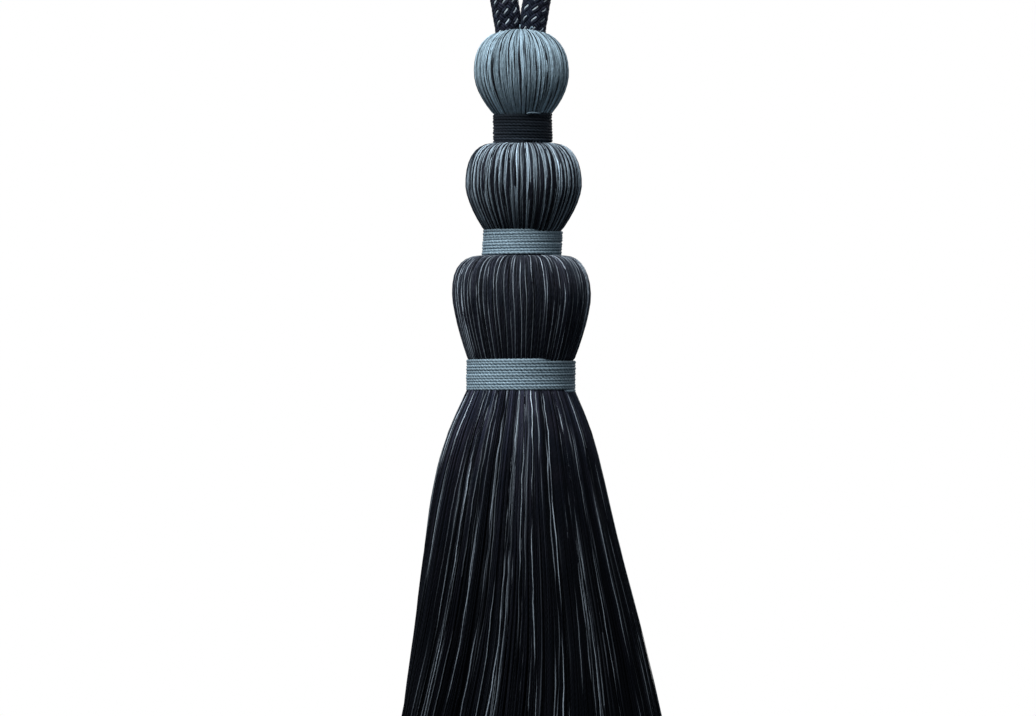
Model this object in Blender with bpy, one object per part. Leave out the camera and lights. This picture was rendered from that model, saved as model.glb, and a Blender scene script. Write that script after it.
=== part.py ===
"""A three-knob passementerie tassel that hangs from a loop of braided cord.

From the top: a cord loop whose two legs go down into the head, three yarn-covered knobs,
each tied off below by a wound thread binding, and a long skirt of cut yarn. The yarn of
each knob runs on under its binding as a neck, so every binding is a ring on two necks.
The origin is the top of the loop's inside, where the tassel hangs. Lengths are in metres,
+Z is up, and a depth is measured downwards from the top of the uppermost knob.
"""

import math
import random

import bmesh
import bpy
from mathutils import Vector

MM = 0.001
GAP = 0.3 * MM                # running gap between any two touching pieces

# Hanging loop
CORD_DIAMETER = 6.9 * MM
CORD_BEVEL_RESOLUTION = 2     # gives the tube 8 sides
CORD_POINTS = 35
LOOP_INSIDE_HEIGHT = 62.0 * MM
SOCKET_DEPTH = 3.0 * MM       # how far the legs go down into the top knob
LEG_OFFSET = 3.4 * MM         # from the tassel's axis to each leg, where they enter the knob
LEG_SQUEEZE = 0.95            # how much narrower the knob's yarn draws the legs there
SQUEEZE_HEIGHT = 7.0 * MM     # how far up the legs they are back at their full width
# One leg of the loop: distance from the tassel's axis, height above the knob's top
LEG_ROUTE_MM = (
    (3.4, 0.0),
    (3.8, 4.0),
    (4.35, 8.0),
    (5.5, 14.0),
    (7.5, 22.0),
    (10.1, 31.0),
    (12.4, 39.5),
    (13.8, 47.5),
    (13.5, 54.8),
    (10.6, 60.6),
    (5.6, 64.2),
)

# Knobs, in millimetres: depth of the top, of the widest girth and of the foot, then the
# radius at each, and the exponents that shape the shoulder above and the taper below
KNOBS = {
    "top_knob": dict(top=-1.0, girth=10.9, foot=21.6, r_top=0.0, r_girth=12.1, r_foot=7.5,
                     shoulder=2.0, taper=1.85),
    "middle_knob": dict(top=29.7, girth=40.3, foot=51.8, r_top=7.6, r_girth=14.9, r_foot=10.1,
                        shoulder=2.05, taper=1.6),
    "lower_knob": dict(top=58.9, girth=69.4, foot=85.6, r_top=10.3, r_girth=17.8, r_foot=13.6,
                       shoulder=2.5, taper=1.45),
}
LOCKS_ROUND_KNOB = 25         # laid bundles of yarn that show as ribs round a knob
STEPS_PER_LOCK = 2
LOCK_GROOVE = (0.25 * MM, 0.6 * MM)
ROWS_ABOVE_GIRTH = 5
ROWS_BELOW_GIRTH = 4

# Bindings: the knob that each one ties off, its height and outer radius in millimetres, and
# its turns of thread. A binding fills the space down to the next knob.
BINDINGS = {
    "upper_binding": dict(ties="top_knob", height=7.5, radius=7.6, turns=10),
    "middle_binding": dict(ties="middle_knob", height=6.5, radius=10.25, turns=9),
    "lower_binding": dict(ties="lower_knob", height=8.0, radius=14.1, turns=11),
}
BINDING_THICKNESS = 1.0 * MM
BINDING_GROOVE = 0.4          # of the height of a turn, how deep the groove between turns is
BINDING_STEPS = 24

# Skirt
SKIRT_LENGTH = 100.0 * MM
SKIRT_TOP_RADIUS = 14.1 * MM
SKIRT_FLARE = 0.19            # steady widening for each unit of length
SHOULDER_SWELL = 3.55 * MM    # extra width that the skirt gains just below its binding
SHOULDER_LENGTH = 9.5 * MM
SHOULDER_POWER = 1.35
HEAD_STEPS = 48
ROOT_OVERLAP = 0.8 * MM       # how far the roots run up into the head
CUT_UNEVENNESS = 0.8 * MM
HEAD_LENGTH = 2.4 * MM        # how far the head shows below its binding
# Distances below the binding at which a lock bends, in millimetres
LOCK_BENDS_MM = (8.0, 17.0, 52.0)
# Rings of locks from the outside in: number, radius at the binding and at the cut, in millimetres
LOCK_RINGS = (
    dict(count=64, tied=13.95, cut=36.5),
    dict(count=64, tied=12.6, cut=33.2),
    dict(count=32, tied=10.6, cut=27.8),
    dict(count=20, tied=7.6, cut=20.5),
    dict(count=10, tied=4.6, cut=12.4),
    dict(count=3, tied=1.7, cut=4.4),
)
LOCK_WIDTH_SHARE = 0.74       # of the space that each lock has round its ring
LOCK_HEIGHT_SHARE = 0.66      # of the distance to the next ring inwards
LOCK_WANDER = 0.35            # of the slack beside a lock, how much it may drift into

# Sideways drift of the tassel's axis, in millimetres: depth, offset
SWAY_MM = (
    (0.0, 0.0),
    (25.0, 0.5),
    (40.0, 0.6),
    (70.0, 0.15),
    (94.0, 0.0),
    (118.0, -0.35),
    (145.0, 0.9),
    (178.0, 2.6),
    (200.0, 3.6),
)

NAVY = (0.012, 0.014, 0.024)
SLATE_BLUE = (0.16, 0.26, 0.32)
MIXED_BLUE = (0.07, 0.11, 0.15)
COTTON_ROUGHNESS = 0.85

HEAD_TOP_Z = -LOOP_INSIDE_HEIGHT


# --------------------------------------------------------------------------- helpers

def clear_scene():
    for obj in list(bpy.data.objects):
        bpy.data.objects.remove(obj)


def cotton(name, colour):
    material = bpy.data.materials.new(name)
    material.use_nodes = True
    shader = material.node_tree.nodes["Principled BSDF"]
    shader.inputs["Base Color"].default_value = (*colour, 1.0)
    shader.inputs["Roughness"].default_value = COTTON_ROUGHNESS
    shader.inputs["Metallic"].default_value = 0.0
    return material


def catmull_rom(before, start, end, after, share):
    """The point at that share of the way from start to end on a smooth curve through all four."""
    square, cube = share * share, share ** 3
    return (
        start * 2.0
        + (end - before) * share
        + (before * 2.0 - start * 5.0 + end * 4.0 - after) * square
        + (start * 3.0 - before - end * 3.0 + after) * cube
    ) * 0.5


def sway(depth):
    """How far the axis has drifted along +X at this depth."""
    if depth <= 0.0:
        return 0.0
    table = [Vector(row) * MM for row in SWAY_MM]
    last = len(table) - 2
    i = max(k for k in range(last + 1) if table[k].x <= depth)
    share = min(1.0, (depth - table[i].x) / (table[i + 1].x - table[i].x))
    found = catmull_rom(table[max(i - 1, 0)], table[i], table[i + 1],
                        table[min(i + 2, len(table) - 1)], share)
    return found.y


def hang(bm):
    """Puts a shape built with z = -depth into the tassel's frame, along its drifting axis."""
    for vertex in bm.verts:
        vertex.co.x += sway(-vertex.co.z)
        vertex.co.z += HEAD_TOP_Z


def new_object(name, bm, material, smooth_angle=40.0):
    bmesh.ops.recalc_face_normals(bm, faces=bm.faces)
    mesh = bpy.data.meshes.new(name)
    bm.to_mesh(mesh)
    bm.free()
    mesh.materials.append(material)
    mesh.shade_smooth()
    mesh.set_sharp_from_angle(angle=math.radians(smooth_angle))
    obj = bpy.data.objects.new(name, mesh)
    bpy.context.scene.collection.objects.link(obj)
    return obj


def turned(outline, steps, closed=False):
    """A solid turned about Z from (radius, depth) points, outside edge first from the top down."""
    bm = bmesh.new()
    verts = [bm.verts.new((radius, 0.0, -depth)) for radius, depth in outline]
    edges = [bm.edges.new(pair) for pair in zip(verts, verts[1:])]
    if closed:
        edges.append(bm.edges.new((verts[-1], verts[0])))
    bmesh.ops.spin(bm, geom=verts + edges, cent=(0, 0, 0), axis=(0, 0, 1),
                   angle=math.tau, steps=steps, use_merge=True)
    bmesh.ops.remove_doubles(bm, verts=bm.verts, dist=0.001 * MM)
    return bm


# ------------------------------------------------------------------------------ cord

def leg_route():
    """The loop's centreline from the bottom of one leg over the top to the other."""
    right = [Vector((LEG_OFFSET, 0.0, -SOCKET_DEPTH + GAP))]
    right += [Vector((x * MM, 0.0, z * MM)) for x, z in LEG_ROUTE_MM]
    crown = Vector((0.0, 0.0, LOOP_INSIDE_HEIGHT + CORD_DIAMETER / 2))
    left = [Vector((-p.x, p.y, p.z)) for p in reversed(right)]
    return right + [crown] + left


def smooth_line(points, count):
    """That many points at even spacing along a smooth curve through the given ones."""
    fine = []
    per_span = 24
    for i in range(len(points) - 1):
        before = points[max(i - 1, 0)]
        after = points[min(i + 2, len(points) - 1)]
        for k in range(per_span):
            fine.append(catmull_rom(before, points[i], points[i + 1], after, k / per_span))
    fine.append(points[-1].copy())
    along = [0.0]
    for a, b in zip(fine, fine[1:]):
        along.append(along[-1] + (b - a).length)
    line, at = [], 0
    for k in range(count):
        target = along[-1] * k / (count - 1)
        while at < len(fine) - 2 and along[at + 1] < target:
            at += 1
        share = (target - along[at]) / (along[at + 1] - along[at])
        line.append(fine[at].lerp(fine[at + 1], share))
    return line


def make_cord(material):
    curve = bpy.data.curves.new("hanging_cord", "CURVE")
    curve.dimensions = "3D"
    curve.bevel_depth = CORD_DIAMETER / 2
    curve.bevel_resolution = CORD_BEVEL_RESOLUTION
    curve.use_fill_caps = True
    line = smooth_line(leg_route(), CORD_POINTS)
    spline = curve.splines.new("POLY")
    spline.points.add(len(line) - 1)
    for point, place in zip(spline.points, line):
        point.co = (place.x, place.y, place.z + HEAD_TOP_Z, 1.0)
        rise = min(1.0, max(0.0, place.z / SQUEEZE_HEIGHT))
        point.radius = LEG_SQUEEZE + (1.0 - LEG_SQUEEZE) * rise
    curve.materials.append(material)
    obj = bpy.data.objects.new("hanging_cord", curve)
    bpy.context.scene.collection.objects.link(obj)
    return obj


# ----------------------------------------------------------------------------- knobs

def knob_radius(knob, depth):
    """Radius in millimetres: an elliptical shoulder down to the girth, then a taper to the foot."""
    if depth <= knob["girth"]:
        left = (knob["girth"] - depth) / (knob["girth"] - knob["top"])
        swell = (1.0 - left ** knob["shoulder"]) ** (1.0 / knob["shoulder"])
        return knob["r_top"] + (knob["r_girth"] - knob["r_top"]) * swell
    share = (depth - knob["girth"]) / (knob["foot"] - knob["girth"])
    return knob["r_foot"] + (knob["r_girth"] - knob["r_foot"]) * (1.0 - share ** knob["taper"])


def knob_depths(knob):
    """Rows of points: bunched towards the top of the shoulder, then even down to the foot."""
    reach = knob["girth"] - knob["top"]
    above = [knob["girth"] - reach * math.cos(math.pi / 2 * k / ROWS_ABOVE_GIRTH)
             for k in range(ROWS_ABOVE_GIRTH)]
    fall = knob["foot"] - knob["girth"]
    below = [knob["girth"] + fall * k / ROWS_BELOW_GIRTH for k in range(ROWS_BELOW_GIRTH + 1)]
    return above + below


def binding_top(binding):
    """Depth of a binding's upper edge, just clear of the foot of the knob that it ties off."""
    return KNOBS[binding["ties"]]["foot"] * MM + GAP


def binding_bottom(binding):
    return binding_top(binding) + binding["height"] * MM


def neck_radius(binding):
    return binding["radius"] * MM - BINDING_THICKNESS - GAP


def neck_middle(binding):
    """Depth halfway down a binding, where the neck from above meets the one from below."""
    return binding_top(binding) + binding["height"] * MM / 2


def knob_outline(knob, binding_above, binding_below):
    outline = [(knob_radius(knob, d) * MM, d * MM) for d in knob_depths(knob)]
    if binding_above:
        neck = neck_radius(binding_above)
        top = neck_middle(binding_above) + GAP / 2
        outline = [(0.0, top), (neck, top), (neck, outline[0][1])] + outline
    neck, end = neck_radius(binding_below), neck_middle(binding_below) - GAP / 2
    return outline + [(neck, outline[-1][1]), (neck, end), (0.0, end)]


def rib(bm, knob, rng):
    """Presses grooves between the laid bundles of yarn, fading out towards both ties."""
    grooves = [rng.uniform(*LOCK_GROOVE) for _ in range(LOCKS_ROUND_KNOB)]
    fade_top = max(knob["top"], 0.0)
    for vertex in bm.verts:
        x, y, depth = vertex.co.x, vertex.co.y, -vertex.co.z / MM
        radius = math.hypot(x, y)
        if not fade_top < depth < knob["foot"] or radius < knob["r_foot"] * MM * 0.5:
            continue
        turn = math.atan2(y, x) / math.tau % 1.0
        place = turn * LOCKS_ROUND_KNOB
        lock = int(place + 0.25) % LOCKS_ROUND_KNOB
        in_groove = 0.5 + 0.5 * math.cos(math.tau * place)
        along = (depth - fade_top) / (knob["foot"] - fade_top)
        press = grooves[lock] * in_groove * math.sin(math.pi * along) ** 0.5
        vertex.co.x *= 1.0 - press / radius
        vertex.co.y *= 1.0 - press / radius


def cord_socket():
    """A cutter with the outline of the two legs side by side, standing on the socket's floor."""
    reach = CORD_DIAMETER / 2 * LEG_SQUEEZE + GAP
    arc_steps = 8
    bm = bmesh.new()
    outline = []
    for side, start in ((1.0, -math.pi / 2), (-1.0, math.pi / 2)):
        for k in range(arc_steps + 1):
            angle = start + math.pi * k / arc_steps
            outline.append(bm.verts.new((side * LEG_OFFSET + reach * math.cos(angle),
                                         reach * math.sin(angle), -SOCKET_DEPTH)))
    floor = bm.faces.new(outline)
    lifted = bmesh.ops.extrude_face_region(bm, geom=[floor])["geom"]
    above = [item for item in lifted if isinstance(item, bmesh.types.BMVert)]
    bmesh.ops.translate(bm, verts=above, vec=(0.0, 0.0, 3 * SOCKET_DEPTH))
    hang(bm)
    cutter = new_object("cord_socket", bm, bpy.data.materials["navy_cord"])
    cutter.hide_render = True
    cutter.display_type = "WIRE"
    return cutter


def make_knobs(materials, rng):
    above = dict(zip(KNOBS, (None, "upper_binding", "middle_binding")))
    below = dict(zip(KNOBS, BINDINGS))
    for name, knob in KNOBS.items():
        outline = knob_outline(knob, BINDINGS.get(above[name]), BINDINGS[below[name]])
        bm = turned(outline, LOCKS_ROUND_KNOB * STEPS_PER_LOCK)
        rib(bm, knob, rng)
        hang(bm)
        new_object(name, bm, materials[name])
    cut = bpy.data.objects["top_knob"].modifiers.new("cord_socket", "BOOLEAN")
    cut.operation = "DIFFERENCE"
    cut.solver = "EXACT"
    cut.object = cord_socket()


# -------------------------------------------------------------------------- bindings

def binding_outline(binding):
    """A ring section: a rib for each turn of thread outside, a plain bore inside."""
    upper, lower = binding_top(binding), binding_bottom(binding)
    outer = binding["radius"] * MM
    turn = (lower - upper) / binding["turns"]
    groove = turn * BINDING_GROOVE
    outline = [(outer - groove, upper)]
    for k in range(binding["turns"]):
        outline.append((outer, upper + turn * (k + 0.5)))
        outline.append((outer - groove, upper + turn * (k + 1)))
    bore = outer - BINDING_THICKNESS
    return outline + [(bore, lower), (bore, upper)]


def make_bindings(materials):
    for name, binding in BINDINGS.items():
        bm = turned(binding_outline(binding), BINDING_STEPS, closed=True)
        hang(bm)
        new_object(name, bm, materials[name], smooth_angle=20.0)


# ----------------------------------------------------------------------------- skirt

def skirt_top():
    """Depth at which the skirt starts to show, just below its binding."""
    return binding_bottom(BINDINGS["lower_binding"]) + GAP


def skirt_radius(drop):
    """Outer radius of the skirt at a distance below its binding."""
    swell = 1.0 - math.exp(-((drop / SHOULDER_LENGTH) ** SHOULDER_POWER))
    return SKIRT_TOP_RADIUS + SKIRT_FLARE * drop + SHOULDER_SWELL * swell


def make_head(material):
    """The tied top of the skirt: a neck inside its binding, and a short flare below it."""
    binding = BINDINGS["lower_binding"]
    neck, top = neck_radius(binding), neck_middle(binding) + GAP / 2
    edge = skirt_top()
    outline = [
        (0.0, top),
        (neck, top),
        (neck, edge),
        (SKIRT_TOP_RADIUS, edge),
        (skirt_radius(HEAD_LENGTH), edge + HEAD_LENGTH),
        (0.0, edge + HEAD_LENGTH),
    ]
    bm = turned(outline, HEAD_STEPS)
    hang(bm)
    return new_object("skirt", bm, material)


def lock_section(width, height):
    """Three corners of a lock's cross-section as (outward, sideways), with its ridge outwards."""
    return ((0.0, 0.0), (-height, width / 2), (-height, -width / 2))


def add_lock(bm, ring, inner, angle, rng):
    """One lock of yarn, from inside the head down to its cut end."""
    outward = Vector((math.cos(angle), math.sin(angle), 0.0))
    sideways = Vector((-outward.y, outward.x, 0.0))
    cut = SKIRT_LENGTH - rng.uniform(0.0, CUT_UNEVENNESS)
    drift = rng.uniform(-LOCK_WANDER, LOCK_WANDER)
    swell = skirt_radius(SKIRT_LENGTH) - skirt_radius(0.0)
    rows = []
    for drop in (HEAD_LENGTH - ROOT_OVERLAP, *(bend * MM for bend in LOCK_BENDS_MM), cut):
        spread = (skirt_radius(drop) - skirt_radius(0.0)) / swell
        reach = (ring["tied"] + (ring["cut"] - ring["tied"]) * spread) * MM
        below = (inner["tied"] + (inner["cut"] - inner["tied"]) * spread) * MM
        space = math.tau * (reach + below) / 2 / ring["count"]
        wander = drift * space * (1 - LOCK_WIDTH_SHARE) * math.sin(math.pi * spread)
        section = lock_section(space * LOCK_WIDTH_SHARE, (reach - below) * LOCK_HEIGHT_SHARE)
        rows.append([
            bm.verts.new(outward * (reach + out) + sideways * (side + wander)
                         - Vector((0.0, 0.0, skirt_top() + drop)))
            for out, side in section
        ])
    for upper, lower in zip(rows, rows[1:]):
        for k in range(3):
            bm.faces.new((upper[k], upper[k - 1], lower[k - 1], lower[k]))
    bm.faces.new(rows[0])
    bm.faces.new(reversed(rows[-1]))


def make_locks(rng, material):
    bm = bmesh.new()
    centre = dict(tied=0.0, cut=0.0)
    for i, ring in enumerate(LOCK_RINGS):
        inner = LOCK_RINGS[i + 1] if i + 1 < len(LOCK_RINGS) else centre
        for k in range(ring["count"]):
            add_lock(bm, ring, inner, math.tau * (k + 0.5 * (i % 2)) / ring["count"], rng)
    hang(bm)
    locks = new_object("skirt_locks", bm, material)
    locks.hide_render = True
    locks.display_type = "WIRE"
    return locks


def make_skirt(material, rng):
    head = make_head(material)
    join = head.modifiers.new("roots", "BOOLEAN")
    join.operation = "UNION"
    join.solver = "EXACT"
    join.object = make_locks(rng, material)


def main():
    clear_scene()
    rng = random.Random(7)
    navy_cord = cotton("navy_cord", NAVY)
    navy_yarn = cotton("navy_yarn", NAVY)
    blue_yarn = cotton("blue_yarn", SLATE_BLUE)
    mixed_yarn = cotton("mixed_yarn", MIXED_BLUE)
    make_cord(navy_cord)
    make_knobs({"top_knob": blue_yarn, "middle_knob": mixed_yarn, "lower_knob": navy_yarn}, rng)
    make_bindings({"upper_binding": navy_yarn, "middle_binding": blue_yarn,
                   "lower_binding": blue_yarn})
    make_skirt(navy_yarn, rng)


main()
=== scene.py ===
"""The finish of a three-knob passementerie tassel that hangs from a loop of braided cord.

Every thread is laid as a thread: the cord is a braid of 48 of them, the knobs are covered with
yarn laid lengthwise, each binding is one plied thread wound round and round, and the skirt is
some thousands of cut threads. Lengths are in metres and +Z is up. A depth is measured downwards
from the top of the uppermost knob, and the tassel's axis drifts a little to +X as it goes down.
"""

import math

import bmesh
import bpy
import numpy as np
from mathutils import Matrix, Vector


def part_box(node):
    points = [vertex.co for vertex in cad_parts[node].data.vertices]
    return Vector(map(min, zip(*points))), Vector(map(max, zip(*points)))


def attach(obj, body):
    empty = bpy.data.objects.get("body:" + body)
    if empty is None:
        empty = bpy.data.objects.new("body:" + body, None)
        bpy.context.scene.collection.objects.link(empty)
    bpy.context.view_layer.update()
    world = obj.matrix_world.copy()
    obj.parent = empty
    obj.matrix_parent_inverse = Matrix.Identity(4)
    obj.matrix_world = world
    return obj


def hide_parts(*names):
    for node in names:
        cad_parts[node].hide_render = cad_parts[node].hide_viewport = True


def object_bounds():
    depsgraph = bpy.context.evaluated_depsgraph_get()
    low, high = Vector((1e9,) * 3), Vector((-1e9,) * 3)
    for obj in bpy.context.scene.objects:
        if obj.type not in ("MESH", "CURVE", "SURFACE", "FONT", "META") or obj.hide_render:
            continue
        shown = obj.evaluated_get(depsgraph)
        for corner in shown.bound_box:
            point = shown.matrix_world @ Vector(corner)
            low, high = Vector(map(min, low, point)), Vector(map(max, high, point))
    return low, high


bl_info = {
    "name": "Passementerie tassel",
    "version": (1, 0, 0),
    "blender": (4, 5, 0),
    "location": "View3D > Sidebar > Tassel",
    "description": "Braids a tassel's cord, covers its knobs, winds its bindings, hangs its skirt",
    "category": "Object",
}

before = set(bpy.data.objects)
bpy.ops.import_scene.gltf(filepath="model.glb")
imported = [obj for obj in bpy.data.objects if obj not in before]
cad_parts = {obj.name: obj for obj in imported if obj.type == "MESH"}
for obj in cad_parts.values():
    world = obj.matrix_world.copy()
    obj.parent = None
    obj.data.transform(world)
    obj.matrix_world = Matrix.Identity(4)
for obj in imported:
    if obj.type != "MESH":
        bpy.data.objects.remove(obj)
cad_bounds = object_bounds()

MM = 0.001
TURN = 2 * math.pi
HEAD_TOP_Z = -62.0 * MM       # the top of the uppermost knob, where depths are counted from
GAP = 0.3 * MM                # between a knob and the binding next to it

# Sideways drift of the tassel's axis: depth and offset, in millimetres
SWAY_MM = np.array([
    (-80.0, 0.0),
    (0.0, 0.0),
    (25.0, 0.55),
    (40.0, 0.8),
    (55.5, 0.5),
    (61.0, 0.12),
    (70.0, 0.28),
    (94.0, 0.05),
    (118.0, -0.25),
    (145.0, 1.15),
    (156.0, 1.9),
    (178.0, 2.75),
    (200.0, 3.6),
])

# The cord: one leg of its loop, as distance from the axis and height above the top knob
CORD_END_DEPTH_MM = 2.7
LEG_ROUTE_MM = (
    (3.23, 0.0),
    (3.5, 3.0),
    (4.2, 7.5),
    (5.5, 14.0),
    (7.5, 22.0),
    (10.1, 31.0),
    (12.4, 39.5),
    (13.8, 47.5),
    (13.5, 54.8),
    (10.6, 60.6),
    (5.6, 64.2),
)
CORD_CROWN_MM = 65.45
LEG_SQUEEZE = 0.93            # share of their width that the legs keep where the knob holds them
SQUEEZE_HEIGHT = 3.5 * MM     # height at which they have their full width again

# Knobs
TOP_KNOB_APEX = -0.3 * MM     # depth at which the top knob would close, if no cord went in
YARN_STAND = -0.06 * MM       # from a solid's widest line out to the middle of its threads
HOLLOW_REACH = 3.5 * MM       # from the middle of a leg of the cord to the yarn round it
HOLLOW_RIM = 0.25 * MM        # how round the yarn turns down into that hollow

# Where a knob's thread ends: radius and depth from the rim that it goes in at, in millimetres
INTO_HOLLOW_MM = ((-0.1, 1.6), (0.0, 0.5))
UNDER_ABOVE_MM = ((-0.9, -0.7), (-0.65, -0.1))
UNDER_BELOW_MM = ((-0.45, 0.4), (-0.8, 1.2))

# How a knob's threads lie
RUN_CROWN = 0.16 * MM         # how far a run of one dye bulges
BURIED_DEPTH = 0.14 * MM      # how deep a thread sinks where others bury it
LAY_UNEVENNESS = 0.06 * MM

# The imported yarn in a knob
BODY_INSET = 0.22 * MM        # from the middle of the threads laid over it
BODY_MOUTH = 3.0 * MM         # radius at which the top knob's opens for the cord
NECK_INSET = 0.95 * MM        # from the outside of the binding round the neck
HOLLOW_DEPTH = 3.3 * MM       # how far down the cord goes into the top knob's
NECK_START = 0.75 * MM        # from the top of the binding above
NECK_RUN = 1.0 * MM           # down into the binding below
LAST_NECK_STOP = 1.3 * MM     # from the foot of the lowest binding, where the skirt is tied

# Bindings
BINDING_STAND = 0.13 * MM     # how far the wound thread stands out from a binding's solid
WOUND_ABOVE = 0.35 * MM       # how far it is wound past the solid's top
WOUND_BELOW = 0.3 * MM        # and past its foot
TUCK_TURN = 0.06              # share of a turn in which its ends dive in
TUCK_DEPTH = 0.9 * MM
SPARE_TURN = 0.15             # room left beside the turns, as a share of one
SETTLE = 0.17                 # how far a turn strays, as a share of the pitch
BULGE = 0.08 * MM             # how far it stands out or in

# Cut ends of thread that show: x from the axis, y and depth, in millimetres
THREAD_ENDS_MM = (
    ((-0.1, -2.2, 0.4), (-0.15, -2.6, -0.5), (-0.1, -2.7, -1.3)),
    ((2.2, -3.2, 0.5), (2.6, -3.9, -0.3), (3.0, -4.5, -0.6), (3.3, -4.9, -0.2)),
    ((1.2, -7.6, 22.1), (1.5, -8.0, 21.8), (2.3, -7.8, 21.75), (3.5, -7.2, 21.75),
     (4.6, -6.4, 21.9)),
)

# The skirt's outline
SKIRT_FLARE = 0.19            # growth of the radius with the drop
SHOULDER_SWELL = 3.55 * MM    # how far the threads spring out under the binding
SHOULDER_LENGTH = 9.5 * MM    # and within what drop
SHOULDER_POWER = 1.35
TIED_LENGTH = 1.4 * MM        # how far the threads run up inside the binding
TIED_INSET = 0.75 * MM        # how far the binding draws them in
TIED_RELEASE = 0.6 * MM       # drop at which they are free of it

# How the skirt's threads hang
ROW_BUNCHING = 1.45           # rows lie closer near the binding
LOOSENING = 1.2               # how late in their length the threads come loose
BLUE_STRAY, NAVY_STRAY = 0.022, 0.010      # sideways, in radians
BLUE_KINKS = 0.16 * MM
TUFTS = 46                    # locks that the threads draw together into
TUFT_PULL = 0.22              # share of the way to its lock that a thread moves
TUFT_GROOVE = 0.4 * MM        # how far threads between two locks fall back
LEAN = 12                     # degrees that the threads turn round the axis, on average
LEAN_SWING = 16               # and how much that varies round the skirt
LEAN_BACK_AT = 0.175          # angle at which the swing turns them back the most
LEAN_DROP = 84 * MM           # drop by which they have turned so far
LEAN_POWER = 1.4              # how late they turn
SHOWS_IN_MM, SHOWS_OUT_MM = 5, 8           # over how long a blue thread comes out and goes under

# Width of a blue thread beside a navy one: where others bury it, how much more where it lies
# open, how uneven it is, and how much wider it is at two drops
BLUE_WIDTH = 0.42
OPEN_WIDTH = 0.28
SLUBS = 0.35
WIDER_DROP_MM, WIDER = (3.0, 25.0), (1.3, 1.0)

# Painted light on the skirt's threads: how bright the two dyes are at some drops, a painted
# highlight near the binding and painted shade lower down where the threads loosen, and how
# far painted shade darkens them towards +X
PAINTED_LIGHT_DROPS_MM = (0.0, 8.0, 20.0, 45.0, 75.0, 100.0)
PAINTED_NAVY_LIGHT = (2.9, 2.1, 0.85, 0.27, 0.20, 0.18)
PAINTED_BLUE_LIGHT = (2.1, 1.95, 1.4, 1.05, 0.86, 0.72)
PAINTED_SIDE_SHADE = 0.36
SPREAD = (0.25, 1.7)          # of brightness from thread to thread

# Blue threads in the skirt
BLUE_FROM = 0.15              # share of the light dye from which a thread counts as blue
HAZE_DYE = (0.03, 0.149)      # share of it in the mixed threads beside them
HAZE_SHARE = 0.6              # of the threads there that are mixed
OPEN = (0, 100)               # drops between which a thread shows, in millimetres: all the way
FRONT = 270                   # degrees round the axis at the middle of the front

# Those that show on its front: degrees from its middle where they are tied, how many lie
# together, and the drops between which they show
FRONT_GROUPS = (
    (-74, 2, 0, 14), (-59, 2, 3, 42), (-43, 2, 0, 100), (-35, 2, 17, 100), (-32, 1, 45, 100),
    (-28, 1, 7, 100), (-25, 1, 0, 40), (-23, 2, 34, 100), (-15, 3, 0, 100), (-8, 2, 46, 100),
    (-4, 3, 0, 100), (3, 1, 68, 100), (4, 2, 0, 58), (10, 2, 0, 64), (12, 2, 72, 100),
    (14, 1, 0, 12), (17, 1, 14, 38), (18, 1, 62, 100), (21, 2, 5, 100), (33, 2, 32, 100),
    (37, 1, 34, 100), (42, 1, 0, 11), (45, 2, 14, 100), (57, 2, 0, 100), (66, 1, 40, 80),
)


def colour(name, description, default):
    return bpy.props.FloatVectorProperty(
        name=name, description=description, default=default, subtype="COLOR", size=3,
        min=0.0, max=1.0)


def length(name, description, default):
    return bpy.props.FloatProperty(
        name=name, description=description, default=default, subtype="DISTANCE", unit="LENGTH",
        precision=5, min=0.0)


def share(name, description, default):
    return bpy.props.FloatProperty(
        name=name, description=description, default=default, subtype="FACTOR", min=0.0, max=1.0)


def number(name, description, default):
    return bpy.props.IntProperty(name=name, description=description, default=default, min=1)


class TasselColours(bpy.types.PropertyGroup):
    """The dyes of the yarn."""
    navy: colour("Navy", "Dye of the dark yarn", (0.0043, 0.0059, 0.0100))
    plum: colour("Plum", "Tone that the dark yarn turns to in places", (0.0088, 0.0088, 0.0138))
    slate: colour("Slate blue", "Dye of the light yarn", (0.285, 0.395, 0.468))
    ash: colour("Ash blue", "Dye of the light threads mixed with the dark", (0.335, 0.400, 0.465))
    fleck: colour("Fleck", "Dye of the light thread in the cord", (0.42, 0.50, 0.55))


class TasselCord(bpy.types.PropertyGroup):
    """The braided cord."""
    diameter: length("Diameter", "Across the braid", 7.5 * MM)
    carriers: number("Carriers", "Groups of threads that wind each way round the cord", 8)
    threads: number("Threads a carrier", "Threads side by side in each carrier", 3)
    lay: length("Lay", "Length of cord in which a carrier goes once round", 21.8 * MM)
    crimp: length("Crimp", "How far a carrier rises and dips as it weaves", 0.27 * MM)
    thread_width: length("Thread width", "Across one thread of the braid", 0.74 * MM)


class TasselKnobs(bpy.types.PropertyGroup):
    """The yarn laid over the knobs."""
    top_threads: number("Top knob threads", "Threads laid round the top knob", 240)
    middle_threads: number("Middle knob threads", "Threads laid round the middle knob", 340)
    lower_threads: number("Lower knob threads", "Threads laid round the lower knob", 400)
    height: length("Yarn height", "Thickness of one thread, as pressed on the knob", 0.42 * MM)
    overlap: share("Overlap", "How much of its neighbour a thread covers", 0.22)


class TasselBindings(bpy.types.PropertyGroup):
    """The thread wound round the necks."""
    upper_turns: number("Upper turns", "Turns of thread in the upper binding", 10)
    middle_turns: number("Middle turns", "Turns of thread in the middle binding", 9)
    lower_turns: number("Lower turns", "Turns of thread in the lower binding", 11)
    ply_pitch: length("Ply pitch", "Length of thread in which its plies go once round", 2.5 * MM)
    ply_depth: share("Ply depth", "How deep the groove between the plies is", 0.12)


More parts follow.
